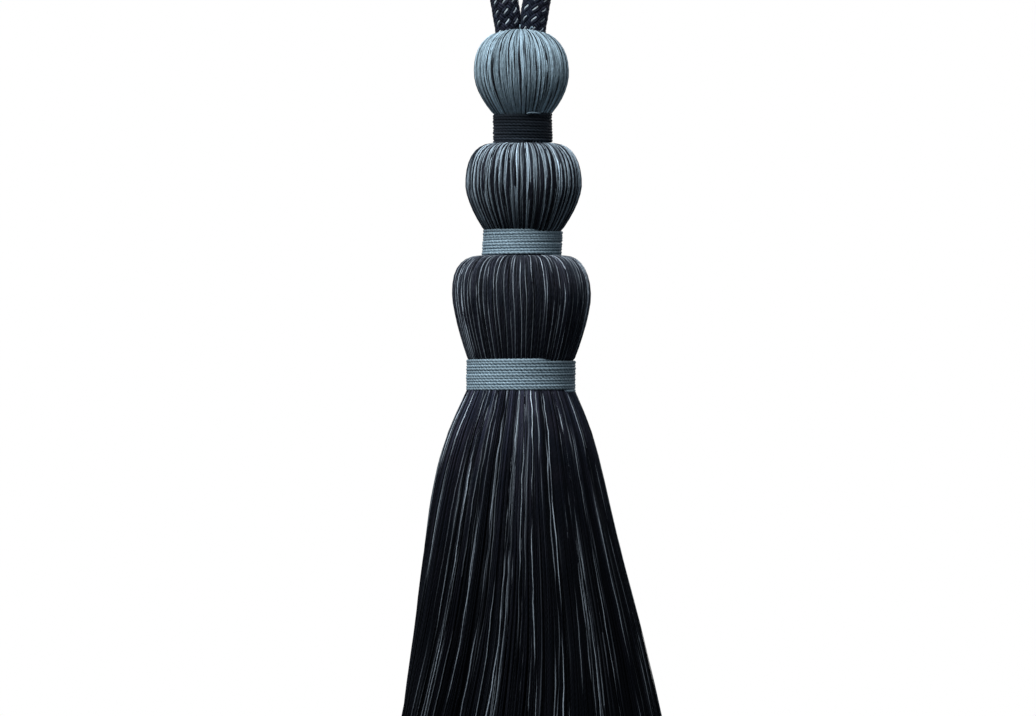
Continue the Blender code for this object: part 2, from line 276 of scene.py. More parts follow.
class TasselSkirt(bpy.types.PropertyGroup):
    """The cut threads of the skirt."""
    hang: length("Length", "From the binding to the cut", 100.0 * MM)
    thread_width: length("Thread width", "Across one thread of the skirt", 0.38 * MM)
    surface_threads: number("Surface threads", "Threads in each of the outer three layers", 400)
    under_threads: number("Under threads", "Threads in each of the next three layers", 330)
    core_threads: number("Core threads", "Threads that fill the middle", 1500)
    blue_groups: number("Blue groups", "Groups of blue threads round the outermost layer", 28)
    unevenness: length("Unevenness", "How far the cut ends differ", 1.1 * MM)


class TasselStage(bpy.types.PropertyGroup):
    """Camera, floor and light."""
    lens: bpy.props.FloatProperty(
        name="Lens", description="Focal length", default=250.0, min=1.0, subtype="DISTANCE_CAMERA")
    frame_width: length("Frame width", "Width of the view where the tassel hangs", 269.4 * MM)
    floor_drop: length("Floor drop", "From the end of the skirt down to the floor", 0.45)
    key_power: bpy.props.FloatProperty(
        name="Key light", description="Power of the main light", default=26.5, min=0.0,
        unit="POWER")
    ambient: bpy.props.FloatProperty(
        name="Ambient", description="Strength of the light from the sky", default=0.34, min=0.0)


# ------------------------------------------------------------------------------ shading

class Value:
    """An output socket. Arithmetic with numbers or other values adds Math nodes."""

    def __init__(self, tree, socket):
        self.tree = tree
        self.socket = socket

    def math(self, operation, *operands):
        return self.tree.node("ShaderNodeMath", {"operation": operation},
                              dict(enumerate(operands)))

    def __add__(self, other):
        return self.math("ADD", self, other)

    def __sub__(self, other):
        return self.math("SUBTRACT", self, other)

    def __rsub__(self, other):
        return self.math("SUBTRACT", other, self)

    def __mul__(self, other):
        return self.math("MULTIPLY", self, other)

    def __truediv__(self, other):
        return self.math("DIVIDE", self, other)

    __radd__ = __add__
    __rmul__ = __mul__

    def clamped(self):
        return self.tree.node("ShaderNodeClamp", {}, {0: self})

    def wave(self):
        """A sine of this many turns, from 0 to 1."""
        return self.math("SINE", self * TURN) * 0.5 + 0.5


class NodeTree:
    """Adds nodes to a material's or world's tree."""

    def __init__(self, owner):
        owner.use_nodes = True
        self.tree = owner.node_tree

    def node(self, kind, settings=None, sockets=None, output=0):
        made = self.tree.nodes.new(kind)
        for name, value in (settings or {}).items():
            setattr(made, name, value)
        self.fill(made, sockets or {})
        return Value(self, made.outputs[output])

    def fill(self, node, sockets):
        """Sets a node's sockets, or links values to them."""
        for key, value in sockets.items():
            if isinstance(value, Value):
                self.tree.links.new(value.socket, node.inputs[key])
            else:
                node.inputs[key].default_value = value

    def mix(self, factor, first, second, blend="MIX"):
        """Mixes two colours."""
        return self.node("ShaderNodeMix", {"data_type": "RGBA", "blend_type": blend},
                         {0: factor, 6: first, 7: second}, output=2)

    def split(self, kind, value):
        """The outputs of a node that takes a colour or a vector apart."""
        parted = self.node(kind, {}, {0: value}).socket.node
        return [Value(self, output) for output in parted.outputs]

    def noise(self, vector, scale, detail=2.0, roughness=0.5):
        return self.node("ShaderNodeTexNoise", {}, {
            "Vector": vector, "Scale": scale, "Detail": detail, "Roughness": roughness})

    def here(self):
        """Object coordinates."""
        return self.node("ShaderNodeTexCoord", output=3)


def rgba(tone):
    return (*tone, 1.0)


def toned(tone, factor):
    """A dye made lighter or darker."""
    return tuple(min(1.0, channel * factor) for channel in tone)


def new_material(name):
    """A material, its tree and its shader."""
    material = bpy.data.materials.new(name)
    tree = NodeTree(material)
    return material, tree, tree.tree.nodes["Principled BSDF"]


def thread_material(name, colours, light, ply_pitch, bump=0.5, sheen=0.08):
    """Cotton thread of two plies. Its attribute holds how much of the light dye it takes, how
    bright it is and a random number."""
    material, tree, shader = new_material(name)
    dye = tree.node("ShaderNodeAttribute", {"attribute_name": "thread"})
    blueness, brightness, chance = tree.split("ShaderNodeSeparateColor", dye)
    around, along, _ = tree.split("ShaderNodeSeparateXYZ",
                                  tree.node("ShaderNodeUVMap", {"uv_map": "UVMap"}))
    ply = (around * 2 + along / (ply_pitch / MM) + chance * 7.0).wave()
    strand = tree.node("ShaderNodeCombineXYZ", {}, {
        0: around * 4.0 + chance * 37.0, 1: along * 0.30, 2: chance * 23.0})
    fibres = tree.noise(strand, 1.0, detail=4.0, roughness=0.7)
    here = tree.here()
    fuzz = tree.noise(here, 3400.0, roughness=0.7)
    blotches = tree.noise(here, 170.0)

    dark = tree.mix((blotches * 2.6 - 0.8).clamped(), rgba(colours.navy), rgba(colours.plum))
    base = tree.mix(blueness, dark, rgba(light))
    # Painted shade in the grooves between the two plies; brightness brings the painted light and
    # shade set where the threads are laid
    lit = brightness * (0.45 + 1.1 * fibres) * (0.45 + 1.1 * fuzz) * (0.7 + 0.3 * ply)
    shade = tree.node("ShaderNodeCombineColor", {}, {0: lit, 1: lit, 2: lit})
    tree.fill(shader, {
        "Base Color": tree.mix(1.0, base, shade, "MULTIPLY"),
        "Roughness": 0.6 + 0.3 * fuzz,
        "Normal": tree.node("ShaderNodeBump", {}, {
            "Strength": bump, "Distance": 0.12 * MM, "Height": ply * 0.7 + fibres + fuzz * 0.35}),
        "Specular IOR Level": 0.05,
        "Specular Tint": (0.60, 0.76, 1.0, 1.0),
        "Sheen Weight": sheen,
        "Sheen Roughness": 0.5,
        "Sheen Tint": (0.64, 0.76, 1.0, 1.0),
    })
    return material


def ground_material(name, dye):
    """Packed yarn seen only between the threads that lie over it."""
    material, tree, shader = new_material(name)
    stretched = tree.node("ShaderNodeMapping", {}, {"Vector": tree.here(),
                                                    "Scale": (1.0, 1.0, 0.06)})
    streaks = tree.noise(stretched, 1800.0, detail=3.0)
    tree.fill(shader, {
        "Base Color": tree.mix(streaks, rgba(toned(dye, 0.35)), rgba(dye)),
        "Normal": tree.node("ShaderNodeBump", {}, {
            "Strength": 0.6, "Distance": 0.2 * MM, "Height": streaks}),
        "Roughness": 0.9,
        "Specular IOR Level": 0.2,
    })
    return material


def floor_material():
    material, tree, shader = new_material("pale_floor")
    mottle = tree.noise(tree.here(), 9.0, detail=4.0)
    tree.fill(shader, {
        "Base Color": tree.mix(mottle, rgba((0.86, 0.86, 0.865)), rgba((0.90, 0.90, 0.90))),
        "Roughness": 0.85,
        "Emission Color": (1.0, 1.0, 1.0, 1.0),
        "Emission Strength": 0.3,
    })
    return material


# ---------------------------------------------------------------------- laying of threads

def unit(vectors):
    return vectors / np.maximum(np.linalg.norm(vectors, axis=-1, keepdims=True), 1e-12)


def tints(dye, light, chance):
    """The attribute thread, of how blue and how bright threads are and a random number."""
    return np.stack(np.broadcast_arrays(dye, light, chance), axis=-1)


def add_object(name, data):
    made = bpy.data.objects.new(name, data)
    bpy.context.scene.collection.objects.link(made)
    return made


def add_solid(name, bm, material):
    """Ends a bmesh as an object."""
    mesh = bpy.data.meshes.new(name)
    bm.to_mesh(mesh)
    bm.free()
    mesh.materials.append(material)
    return add_object(name, mesh)


def cad_span(box):
    """Half the width of a solid's box, and the depths of its top and its foot."""
    low, high = box
    return (high.y - low.y) / 2, HEAD_TOP_Z - high.z, HEAD_TOP_Z - low.z


class Strands:
    """Many threads gathered as arrays and joined into one mesh. Each thread is a closed tube
    with a UV map, around it in turns and along it in millimetres, and the attribute thread."""

    def __init__(self):
        self.points, self.tints = [], []
        self.corners, self.sizes, self.uvs, self.smooth = [], [], [], []
        self.first = 0

    def lay(self, paths, outward, half_width, half_height, sides, tint, twist=0.0):
        """Adds a thread along points (rows, 3), or threads along points (threads, rows, 3).
        Half width lies across outward, half height along it, and twist turns them about the
        thread. These and the tint are one value, or one for each point."""
        paths = paths.reshape(-1, *paths.shape[-2:])
        count, rows, _ = paths.shape
        outward, tint = (np.broadcast_to(value, paths.shape) for value in (outward, tint))
        half_width, half_height, twist = (
            np.broadcast_to(value, (count, rows)) for value in (half_width, half_height, twist))
        ahead = unit(np.gradient(paths, axis=1))
        across = unit(np.cross(ahead, outward))
        up = np.cross(across, ahead)
        cos, sin = np.cos(twist)[..., None], np.sin(twist)[..., None]
        wide = (across * cos + up * sin) * half_width[..., None]
        high = (up * cos - across * sin) * half_height[..., None]
        angle = TURN * (np.arange(sides) / sides - 0.25)
        ring = (wide[:, :, None] * np.cos(angle)[:, None]
                + high[:, :, None] * np.sin(angle)[:, None])
        self.points.append((paths[:, :, None] + ring).reshape(-1, 3))
        tint = np.broadcast_to(tint[:, :, None], (count, rows, sides, 3)).reshape(-1, 3)
        self.tints.append(np.concatenate([tint, np.ones((len(tint), 1))], axis=1))

        index = self.first + np.arange(count * rows * sides).reshape(count, rows, sides)
        after = np.roll(index, -1, axis=2)
        walls = np.stack([index[:, :-1], index[:, 1:], after[:, 1:], after[:, :-1]], axis=-1)
        run = np.cumsum(np.linalg.norm(np.diff(paths, axis=1), axis=2), axis=1) / MM
        run = np.concatenate([np.zeros((count, 1)), run], axis=1)
        turn = np.arange(sides + 1) / sides
        u = np.broadcast_to(np.stack([turn[:-1], turn[:-1], turn[1:], turn[1:]], axis=-1),
                            (count, rows - 1, sides, 4))
        low, high_run = run[:, :-1, None], run[:, 1:, None]
        v = np.stack(np.broadcast_arrays(low, high_run, high_run, low), axis=-1)
        v = np.broadcast_to(v, u.shape)
        self._faces(walls.reshape(-1, 4), np.stack([u, v], axis=-1).reshape(-1, 2), True)
        for cap, end in ((index[:, 0], run[:, 0]), (index[:, -1, ::-1], run[:, -1])):
            around = np.broadcast_to(turn[:-1], cap.shape)
            ends = np.broadcast_to(end[:, None], cap.shape)
            self._faces(cap, np.stack([around, ends], axis=-1).reshape(-1, 2), False)
        self.first += count * rows * sides

    def _faces(self, faces, uvs, smooth):
        self.corners.append(faces.ravel())
        self.sizes.append(np.full(len(faces), faces.shape[1]))
        self.uvs.append(uvs)
        self.smooth.append(np.full(len(faces), smooth))

    def join(self, name, material):
        points, corners = np.concatenate(self.points), np.concatenate(self.corners)
        sizes = np.concatenate(self.sizes)
        mesh = bpy.data.meshes.new(name)
        mesh.vertices.add(len(points))
        mesh.vertices.foreach_set("co", points.astype(np.float32).ravel())
        mesh.loops.add(len(corners))
        mesh.loops.foreach_set("vertex_index", corners.astype(np.int32))
        mesh.polygons.add(len(sizes))
        mesh.polygons.foreach_set("loop_start", (np.cumsum(sizes) - sizes).astype(np.int32))
        mesh.polygons.foreach_set("use_smooth", np.concatenate(self.smooth))
        mesh.uv_layers.new(name="UVMap").data.foreach_set(
            "uv", np.concatenate(self.uvs).astype(np.float32).ravel())
        mesh.attributes.new("thread", "FLOAT_COLOR", "POINT").data.foreach_set(
            "color", np.concatenate(self.tints).astype(np.float32).ravel())
        mesh.update(calc_edges=True)
        mesh.validate()
        mesh.materials.append(material)
        return add_object(name, mesh)


def sway(depth):
    """The axis's drift along +X at these depths."""
    knots, drift = SWAY_MM[:, 0] * MM, SWAY_MM[:, 1] * MM
    slope = np.gradient(drift, knots)
    i = np.clip(np.searchsorted(knots, depth) - 1, 0, len(knots) - 2)
    span = knots[i + 1] - knots[i]
    t = (depth - knots[i]) / span
    rise = drift[i + 1] - drift[i]
    bend = (1 - t) * (slope[i] * span - rise) - t * (slope[i + 1] * span - rise)
    return drift[i] + t * rise + t * (1 - t) * bend


def round_axis(out, angle, up):
    """Vectors at an angle about +Z, from how far they reach outwards and upwards."""
    return np.stack(np.broadcast_arrays(out * np.cos(angle), out * np.sin(angle), up), axis=-1)


def hung(radius, angle, depth):
    """Points at a radius, an angle and a depth about the tassel's axis."""
    points = round_axis(radius, angle, HEAD_TOP_Z - depth)
    points[..., 0] += sway(depth)
    return points


def spaced(points, pace, count):
    """That many points along a line, spaced by the pace given for each of its steps."""
    run = np.concatenate([[0.0], np.cumsum(pace)])
    at = np.linspace(0.0, run[-1], count)
    return np.stack([np.interp(at, run, column) for column in points.T], axis=1)


def evenly(points, count):
    """That many points at even spacing along a line of points."""
    return spaced(points, np.linalg.norm(np.diff(points, axis=0), axis=1), count)


def paced(points, count):
    """That many points along a line of points, closer together where it turns."""
    step = np.diff(points, axis=0)
    heading = np.unwrap(np.arctan2(step[:, 1], step[:, 0]))
    turning = np.abs(np.gradient(heading))
    pace = np.linalg.norm(step, axis=1)
    return spaced(points, pace / pace.sum() + 0.8 * turning / turning.sum(), count)


def ripple(rng, count, rows, waves):
    """Smooth random wander from about -1 to 1 for each thread, over that many waves."""
    along = np.linspace(0.0, 1.0, rows)
    total = np.zeros((count, rows))
    for k, weight in ((1.0, 0.6), (2.3, 0.4)):
        phase = rng.uniform(0, TURN, (count, 1))
        pace = rng.uniform(0.7, 1.3, (count, 1)) * waves * k
        total += weight * np.sin(TURN * pace * along + phase)
    return total


def colour_runs(rng, count, blue, navy):
    """Which threads round a knob are blue, in runs of so few to so many threads of each dye, and
    where in its run each thread lies, from 0 at one edge to 1 at the other."""
    is_blue, within = [], []
    now = True
    while len(is_blue) < count:
        run = int(rng.integers(*(blue if now else navy), endpoint=True))
        is_blue += [now] * run
        within += [(k + 0.5) / run for k in range(run)]
        now = not now
    return np.array(is_blue[:count]), np.array(within[:count])


def colour_groups(rng, count, groups, front=()):
    """How blue each thread round a layer is, and the drops between which it shows. Blue threads
    lie in ones, twos and threes a few threads apart, over the front as listed, and a haze of
    mixed threads shows beside and between them for a part of their length."""
    margin = 6                    # degrees between those listed and the first of the others
    first, last = (front[0][0] - margin, front[-1][0] + margin) if front else (0, 0)
    groups = round(groups * (1 - (last - first) / 360))
    open_places = (np.arange(groups) + rng.random(groups)) / groups
    places = [(last + place * (360 - last + first), rng.integers(1, 4), *OPEN)
              for place in open_places]
    threads = np.tile((0.0, *OPEN), (count, 1))
    for degrees, size, shows_from, shows_to in (*front, *places):
        start = round((FRONT + degrees) / 360 * count)
        steps = rng.integers(1, 5, size - 1)
        beside = (start - 1 + np.arange(steps.sum() + rng.integers(3, 7))) % count
        haze_from = 85.0 * rng.random() ** 1.5 - 8.0
        haze = rng.uniform(*HAZE_DYE, len(beside))
        threads[beside, 0] = haze * (rng.random(len(beside)) < HAZE_SHARE)
        threads[beside, 1:] = haze_from, haze_from + rng.uniform(12.0, 40.0)
        members = (start + np.cumsum([0, *steps])) % count
        threads[members, 0] = rng.uniform(0.2, 0.85, size)
        threads[members, 1:] = shows_from, shows_to
    return threads


def showing(rng, count, rows, presence, waves=1.1):
    """How far threads show along their length: 1 where they lie open, 0 where others bury them."""
    return np.clip(0.5 + presence + 0.9 * ripple(rng, count, rows, waves), 0.0, 1.0)


def finish_piece(piece, slot, *nodes):
    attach(piece, "root")
    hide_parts(*nodes)


# -------------------------------------------------------------------------------- cord

def catmull_rom(before, start, end, after, share_along):
    t = share_along[:, None]
    return 0.5 * (2 * start + (end - before) * t
                  + (2 * before - 5 * start + 4 * end - after) * t ** 2
                  + (3 * start - before - 3 * end + after) * t ** 3)


def cord_route():
    """A smooth line down the middle of the cord, from the bottom of one leg to the other."""
    right = [(LEG_ROUTE_MM[0][0], 0.0, -CORD_END_DEPTH_MM)]
    right += [(x, 0.0, z) for x, z in LEG_ROUTE_MM]
    left = [(-x, y, z) for x, y, z in reversed(right)]
    knots = np.array(right + [(0.0, 0.0, CORD_CROWN_MM)] + left) * MM
    padded = np.concatenate([knots[:1], knots, knots[-1:]])
    fine = [catmull_rom(*padded[i:i + 4], np.arange(24) / 24) for i in range(len(knots) - 1)]
    line = np.concatenate(fine + [knots[-1:]])
    return line + np.array([0.0, 0.0, HEAD_TOP_Z])


def leg_width(line):
    """How wide the cord is along its route, as a share: its legs are drawn in where they enter."""
    height = np.clip((line[:, 2] - HEAD_TOP_Z) / SQUEEZE_HEIGHT, 0.0, 1.0)
    return LEG_SQUEEZE + (1 - LEG_SQUEEZE) * height


def make_cord(settings, colours):
    rows_a_wave = 6
    flatness = 0.8                # a thread's height as a share of its width
    plateau = 1.6                 # how long a carrier stays up or down between crossings
    blue_light = 0.40             # how bright its blue threads are beside the navy ones
    blue_finer = 0.35             # how much finer they are
    line = cord_route()
    total = np.linalg.norm(np.diff(line, axis=0), axis=1).sum()
    wave = settings.lay / settings.carriers
    rows = int(total / wave * rows_a_wave) + 1
    line = evenly(line, rows)
    run = np.linspace(0.0, total, rows)
    ahead = unit(np.gradient(line, axis=0))
    front = np.array((0.0, 1.0, 0.0))
    beside = np.cross(front, ahead)
    width = leg_width(line)
    half_thread = settings.thread_width / 2
    middle = settings.diameter / 2 - settings.crimp - half_thread * flatness

    rng = np.random.default_rng(3)
    strands = Strands()
    spot = ((np.arange(settings.threads) + 0.5) / settings.threads - 0.5)[:, None]
    for way in (1, -1):
        for carrier in range(settings.carriers):
            angle = way * TURN * run / settings.lay + TURN * (carrier + spot) / settings.carriers
            crossing = way * TURN * run / wave + math.pi * spot
            weave = way * np.tanh(plateau * np.cos(crossing)) / math.tanh(plateau)
            radius = (middle + settings.crimp * weave) * width
            out = beside * np.cos(angle)[..., None] + front * np.sin(angle)[..., None]
            blue = np.zeros(angle.shape)
            if way == 1:
                blue[settings.threads // 2] = 1.0
            # Painted shade where a carrier dips under the others, painted highlight where it rises
            # over them
            light = rng.uniform(1.4, 3.2, (settings.threads, 1)) * (1 + 0.6 * weave)
            light = np.where(blue > 0, light * blue_light, light)
            tint = tints(blue, light, rng.random((settings.threads, 1)))
            thread = half_thread * (1 - blue_finer * blue) * width
            strands.lay(line + out * radius[..., None], out, thread, thread * flatness, 5, tint)
    half_core = middle * 0.96
    strands.lay(line[::3], front, half_core, half_core, 10, (0.0, 0.5, 0.5))
    material = thread_material("navy_braid", colours, colours.fleck, 1.6 * MM, sheen=0.05)
    cord = strands.join("braided_cord", material)
    finish_piece(cord, "navy_cord", "hanging_cord")


# ------------------------------------------------------------------------------- knobs

class Knob:
    """A knob's profile between the bindings that hold it, read from the frame."""

    def __init__(self, plan):
        node, above, below = plan["node"], plan["above"], plan["below"]
        self.node = node
        self.shoulder, self.taper = plan["shoulder"], plan["taper"]
        self.neck, binding_top, binding_foot = cad_span(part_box(below))
        self.foot = binding_top - GAP
        self.neck_end = self.foot + NECK_RUN
        if node == "lower_knob":
            self.neck_end = binding_foot - LAST_NECK_STOP
        self.r_foot = self.neck - plan["foot_inset"] * MM
        if above:
            self.r_top, above_top, above_foot = cad_span(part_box(above))
            self.top = above_foot + GAP
            self.neck_start = above_top + NECK_START
        else:
            self.top, self.r_top = TOP_KNOB_APEX, 0.0
        self.girth = self.top + (self.foot - self.top) * plan["girth_at"]
        self.r_girth = cad_span(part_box(node))[0] + YARN_STAND

    def radius(self, depth):
        above = np.clip((self.girth - depth) / (self.girth - self.top), 0.0, 1.0)
        below = np.clip((depth - self.girth) / (self.foot - self.girth), 0.0, 1.0)
        shoulder = (1 - above ** self.shoulder) ** (1 / self.shoulder)
        shoulder = self.r_top + (self.r_girth - self.r_top) * shoulder
        taper = self.r_foot + (self.r_girth - self.r_foot) * (1 - below ** self.taper)
        return np.where(depth <= self.girth, shoulder, taper)

    def meridian(self, start_radius):
        """(radius, depth) down the knob from that radius, bunched where the shoulder turns."""
        reach = self.girth - self.top
        above = self.girth - reach * np.cos(np.linspace(0.0, math.pi / 2, 60))
        below = np.linspace(self.girth, self.foot, 60)[1:]
        depth = np.concatenate([above, below])
        radius = self.radius(depth)
        kept = (radius >= start_radius) | (depth > self.girth)
        return np.stack([radius[kept], depth[kept]], axis=1)

    def yarn_line(self, angle):
        """(radius, depth) of a thread: out of the hollow round the cord or out from under the
        binding above, down over the knob, and in under the binding below."""
        if self.r_top == 0.0:
            mouth = cord_hollow(angle) + HOLLOW_RIM
            over = self.meridian(mouth + HOLLOW_RIM)
            start = np.array(INTO_HOLLOW_MM) * MM + (mouth, over[0, 1])
        else:
            over = self.meridian(self.r_top)
            start = np.array(UNDER_ABOVE_MM) * MM + (self.r_top, self.top)
        end = np.array(UNDER_BELOW_MM) * MM + (self.r_foot, self.foot)
        return np.concatenate([start, over, end])


def cord_hollow(angle):
    """Radius of the space that the cord's two legs take in the top knob, at an angle."""
    offset = LEG_ROUTE_MM[0][0] * MM
    cos, sin = abs(math.cos(angle)), abs(math.sin(angle))
    flat = HOLLOW_REACH / max(sin, 1e-6)
    if flat * cos <= offset:
        return flat
    return offset * cos + math.sqrt(HOLLOW_REACH ** 2 - (offset * sin) ** 2)


def lay_knob(knob, settings, plan):
    """Lays the yarn over a knob."""
    rng = np.random.default_rng(plan["seed"])
    count, rows = plan["count"], 20
    blue, within = colour_runs(rng, count, *plan["runs"])
    angles = TURN * (np.arange(count) + rng.uniform(-0.25, 0.25, count)) / count
    lines = np.stack([paced(knob.yarn_line(angle), rows) for angle in angles])
    radius, depth = lines[..., 0], lines[..., 1]
    slope = unit(np.gradient(lines, axis=1))
    free = np.sin(math.pi * np.linspace(0, 1, rows)) ** 0.5
    shown = np.where(blue[:, None], showing(rng, count, rows, plan["blue_presence"]),
                     showing(rng, count, rows, plan["navy_presence"]))
    crown = RUN_CROWN * (1 - (2 * within - 1) ** 2)[:, None]
    uneven = ripple(rng, count, rows, 1.4) * LAY_UNEVENNESS
    lift = (crown + (shown - 1) * BURIED_DEPTH + uneven) * free
    radius = radius + lift * slope[..., 1]
    depth = depth - lift * slope[..., 0]
    wander = ripple(rng, count, rows, 1.1) * 0.9 + ripple(rng, count, rows, 3.5) * 0.15
    angle = angles[:, None] + wander * free * TURN / count

    def down(*values):
        return np.interp(depth, np.linspace(knob.top, knob.foot, len(values)), values)

    spacing = TURN * radius / count
    broad = np.where(blue, plan["blue_width"], plan["navy_width"])
    broad = (broad * rng.uniform(0.75, 1.3, count))[:, None]
    broad = broad * np.where(blue[:, None], down(*plan["narrowing"]), 1.0)
    half_width = spacing * broad * (1 + settings.overlap) / 2
    half_height = settings.height / 2 * np.clip(spacing / spacing.max(), 0.6, 1.0)
    # haze: light dye in the navy threads, most at the top and none at the foot, a painted sheen on
    # the knob's upper part
    haze = plan["haze"] * rng.uniform(0.0, 2.0, (count, 1)) * down(1.0, 0.1, 0.0)
    dullness = rng.uniform(plan["dullest"], 1.0, (count, 1))
    blueness = np.where(blue[:, None], shown * dullness, 1 - shown + haze)
    light = rng.uniform(*plan["spread"], (count, 1)) * (1 + 0.25 * ripple(rng, count, rows, 2.2))
    patches = 1 + 0.15 * np.sin(8 * angle + 2.0) + 0.15 * np.sin(21 * angle + 1.0)
    # Painted shade: plan light darkens the threads down the knob towards its foot
    light = light * down(*plan["light"]) * patches
    strands = Strands()
    outward = round_axis(slope[..., 1], angle, slope[..., 0])
    strands.lay(hung(radius, angle, depth), outward, half_width, half_height, 4,
                tints(blueness, light, rng.random((count, 1))))
    return strands.join(knob.node + "_yarn", plan["yarn"])


def turn_body(knob, material):
    """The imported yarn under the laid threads, with its necks under the bindings."""
    outline = evenly(knob.meridian(knob.r_top or BODY_MOUTH), 26)
    outline[:, 0] -= BODY_INSET
    neck = knob.neck - NECK_INSET
    foot = [(neck, knob.foot + 0.4 * MM), (neck, knob.neck_end), (0.0, knob.neck_end)]
    if knob.r_top:
        upper_neck = knob.r_top - NECK_INSET
        head = [(0.0, knob.neck_start), (upper_neck, knob.neck_start), (upper_neck, knob.top)]
    else:
        rim, hollow = outline[0, 0], outline[0, 1] + HOLLOW_DEPTH
        head = [(0.0, hollow), (rim, hollow)]
    bm = bmesh.new()
    verts = [bm.verts.new((radius, 0.0, -depth))
             for radius, depth in np.concatenate([head, outline, foot])]
    edges = [bm.edges.new(pair) for pair in zip(verts, verts[1:])]
    bmesh.ops.spin(bm, geom=verts + edges, cent=(0, 0, 0), axis=(0, 0, 1), angle=TURN, steps=64,
                   use_merge=True)
    bmesh.ops.remove_doubles(bm, verts=bm.verts, dist=0.001 * MM)
    bmesh.ops.recalc_face_normals(bm, faces=bm.faces)
    # A spin leaves its faces in another order each time, so they are put in order
    bm.verts.index_update()
    base = len(bm.verts)
    bm.faces.sort(key=lambda face: sum(v.index * base ** k for k, v in enumerate(face.verts)))
    for vertex in bm.verts:
        vertex.co.x += float(sway(-vertex.co.z))
        vertex.co.z += HEAD_TOP_Z
    body = add_solid(knob.node + "_body", bm, material)
    body.data.shade_smooth()
    return body


def make_knobs(settings, colours):
    """Covers the knobs. In the plans, girth_at is the share of its height at which a knob is
    widest, shoulder and taper are the exponents of its curves above and below that, and
    foot_inset is how far its foot lies inside the binding below, in millimetres. runs says how
    few and how many blue threads lie side by side, then how many navy ones, and presence how
    far they show. light is how bright the threads are down the knob, with painted shade that
    darkens them towards the foot, and narrowing how wide the blue ones are down the knob. haze
    is how much of the light dye the navy threads take near the top, a painted sheen."""
    light_yarn = thread_material("light_yarn", colours, colours.slate, 1.9 * MM)
    between = [(slate + ash) / 2 for slate, ash in zip(colours.slate, colours.ash)]
    mixed_yarn = thread_material("mixed_yarn", colours, between, 1.9 * MM)
    dark_yarn = thread_material("dark_yarn", colours, colours.ash, 1.9 * MM)
    dark = ground_material("packed_navy", colours.navy)
    # The top knob's packed yarn is slate darkened to painted shade, as it shows only between the
    # threads
    painted_shade_slate = ground_material("packed_slate_painted_shade", toned(colours.slate, 0.12))
    plans = (
        dict(node="top_knob", above=None, below="upper_binding",
             girth_at=0.527, shoulder=2.42, taper=1.85, foot_inset=0.1,
             slot="blue_yarn", ground=painted_shade_slate, yarn=light_yarn,
             count=settings.top_threads, runs=((2, 9), (1, 1)), seed=11,
             blue_presence=1.5, navy_presence=0.5, blue_width=1.0, navy_width=1.1, dullest=0.85,
             light=(1.34, 1.27, 1.27), spread=(0.55, 1.4), haze=0.0, narrowing=(1.0, 1.0)),
        dict(node="middle_knob", above="upper_binding", below="middle_binding",
             girth_at=0.480, shoulder=2.3, taper=1.6, foot_inset=0.15,
             slot="mixed_yarn", ground=dark, yarn=mixed_yarn,
             count=settings.middle_threads, runs=((1, 4), (1, 3)), seed=12,
             blue_presence=0.35, navy_presence=1.5, blue_width=0.95, navy_width=1.1, dullest=0.6,
             light=(1.88, 1.32, 0.78), spread=(0.45, 1.42), haze=0.02, narrowing=(1.12, 0.62)),
        dict(node="lower_knob", above="middle_binding", below="lower_binding",
             girth_at=0.393, shoulder=2.5, taper=1.45, foot_inset=0.45,
             slot="navy_yarn", ground=dark, yarn=dark_yarn,
             count=settings.lower_threads, runs=((1, 1), (2, 6)), seed=13,
             blue_presence=0.25, navy_presence=1.5, blue_width=0.65, navy_width=1.1, dullest=0.42,
             light=(2.12, 1.45, 0.92), spread=(0.35, 1.55), haze=0.022, narrowing=(1.0, 1.0)),
    )
    for plan in plans:
        knob = Knob(plan)
        for piece in (lay_knob(knob, settings, plan), turn_body(knob, plan["ground"])):
            finish_piece(piece, plan["slot"], plan["node"])


# ---------------------------------------------------------------------------- bindings

def wind(plan, settings, material):
    """One plied thread wound down a binding from an angle in degrees, its ends tucked in."""
    node, turns, mottle = plan["node"], plan["turns"], plan["mottle"]
    outer, upper, lower = cad_span(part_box(node))
    upper, lower = upper - WOUND_ABOVE, lower + WOUND_BELOW
    pitch = (lower - upper) / (turns + SPARE_TURN)
    half = pitch * plan["fill"]
    inset = 0.75 * half           # of the first and last turns' middles
    rng = np.random.default_rng(turns)
    circle = TURN * (outer - half)
    rows_a_ply = 9
    rows = int(circle * turns / settings.ply_pitch * rows_a_ply)
    turn = np.linspace(0.0, turns, rows)
    marks = np.arange(3 * turns + 2) / 3

    def uneven(low, high):
        return np.interp(turn, marks, rng.uniform(low, high, len(marks)))

    settle = uneven(-SETTLE, SETTLE) * pitch
    bulge = uneven(-BULGE, BULGE)
    worn = uneven(1 - mottle, 1 + mottle)
    ends = np.clip(1 - turn / TUCK_TURN, 0, 1) + np.clip(1 - (turns - turn) / TUCK_TURN, 0, 1)
    depth = upper + inset + (lower - upper - 2 * inset) * turn / turns + settle
    radius = outer - half + BINDING_STAND + bulge - TUCK_DEPTH * ends
    angle = math.radians(plan["start"]) + plan["way"] * TURN * turn
    twist = -TURN * circle * turn / settings.ply_pitch
    # Painted shade on the binding's side towards +X
    painted_binding_shade = 0.35 * np.clip(np.cos(angle + 0.3), 0, 1) ** 2
    light = worn * (1.0 + 0.05 * np.sin(turn * 17.0)) * (1 - painted_binding_shade)
    strands = Strands()
    strands.lay(hung(radius, angle, depth), round_axis(1.0, angle, 0.0),
                half * (1 + settings.ply_depth), half * (1 - settings.ply_depth), 8,
                tints(plan["blueness"], light, 0.5), twist)
    return strands.join(node + "_thread", material)


